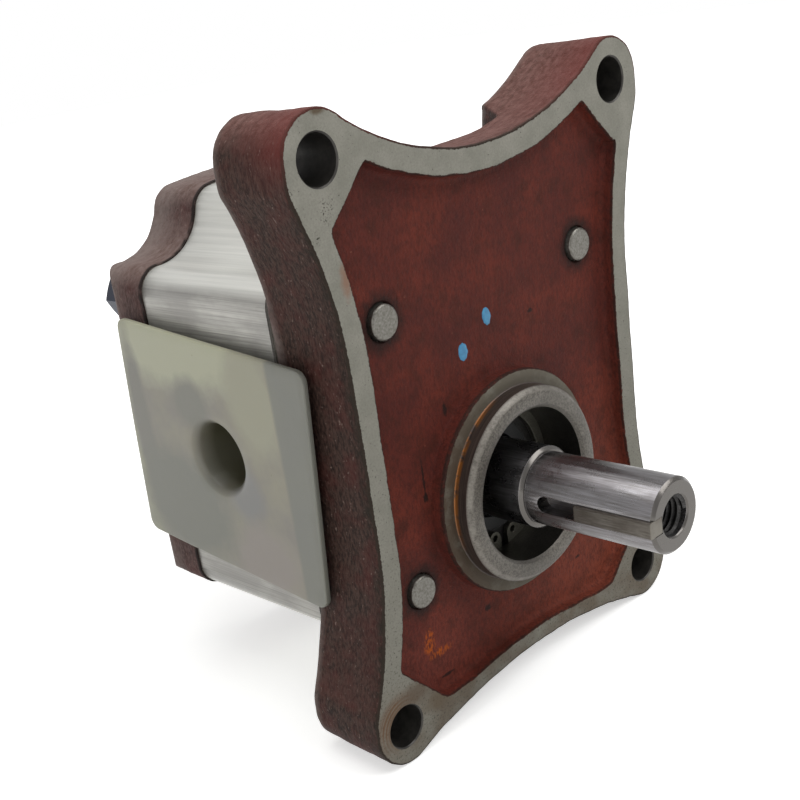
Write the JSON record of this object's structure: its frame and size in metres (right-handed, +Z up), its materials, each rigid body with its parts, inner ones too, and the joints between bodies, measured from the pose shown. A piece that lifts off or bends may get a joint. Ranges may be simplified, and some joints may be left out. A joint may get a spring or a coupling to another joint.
{
  "type": "hydraulic gear pump",
  "caption": "External gear pump with a red cast flange with ears, an aluminium gear housing, a keyed drive shaft and push-in port caps.",
  "frame": {"origin": "on the drive shaft's axis, in the plane of the flange's machined rim", "axes": "-Y along the drive shaft, out of the flange; +Z up, towards the driven gear; +X to the right seen from the shaft's end"},
  "size_m": [0.145, 0.1805, 0.1874],
  "materials": {
    "primed_cast_iron": "red-oxide primer over a rough sand casting, machined rim left bare",
    "extruded_aluminium": "as extruded, fine lines along the shaft axis",
    "block_aluminium": "machined",
    "bolt_steel": "blue-black phosphated",
    "washer_steel": "zinc plated",
    "ground_steel": "case-hardened and ground",
    "key_steel": "bright drawn",
    "bush_bronze": "rolled bronze-backed bush",
    "nitrile_rubber": "moulded",
    "ptfe_white": "machined",
    "seal_steel": "pressed, oiled",
    "cap_polyethylene": "soft translucent moulding"
  },
  "bodies": {
    "pump_body": {"front_flange": "primed_cast_iron", "gear_housing": "extruded_aluminium", "rear_cover": "primed_cast_iron", "through_bolts": "bolt_steel", "bolt_washers": "washer_steel", "dowel_pins": "ground_steel", "front_bearing_block": "block_aluminium", "rear_bearing_block": "block_aluminium", "drive_front_bush": "bush_bronze", "drive_rear_bush": "bush_bronze", "idler_front_bush": "bush_bronze", "idler_rear_bush": "bush_bronze", "front_block_seal": "nitrile_rubber", "rear_block_seal": "nitrile_rubber", "front_backup_ring": "ptfe_white", "rear_backup_ring": "ptfe_white", "front_body_seal": "nitrile_rubber", "rear_body_seal": "nitrile_rubber", "shaft_seal_case": "seal_steel", "shaft_seal_lip": "nitrile_rubber", "seal_spring": "seal_steel", "seal_circlip": "seal_steel"},
    "drive": {"drive_gear_shaft": "ground_steel", "shaft_key": "key_steel"},
    "idler": {"idler_gear": "ground_steel"},
    "left_cap": {"left_port_cap": "cap_polyethylene"},
    "right_cap": {"right_port_cap": "cap_polyethylene"}
  },
  "joints": [
    {"name": "drive_spin", "type": "hinge", "parent": "pump_body", "child": "drive", "pos_m": [0, 0, 0], "axis": [0, -1, 0], "continuous": true},
    {"name": "idler_spin", "type": "hinge", "parent": "pump_body", "child": "idler", "pos_m": [0, 0, 0.043], "axis": [0, -1, 0], "continuous": true},
    {"name": "left_cap_pull", "type": "slide", "parent": "pump_body", "child": "left_cap", "axis": [-1, 0, 0], "range_m": [0, 0.03]},
    {"name": "right_cap_pull", "type": "slide", "parent": "pump_body", "child": "right_cap", "axis": [1, 0, 0], "range_m": [0, 0.03]}
  ],
  "couplings": [
    {"joint": "idler_spin", "follows": "drive_spin", "ratio": -1}
  ]
}
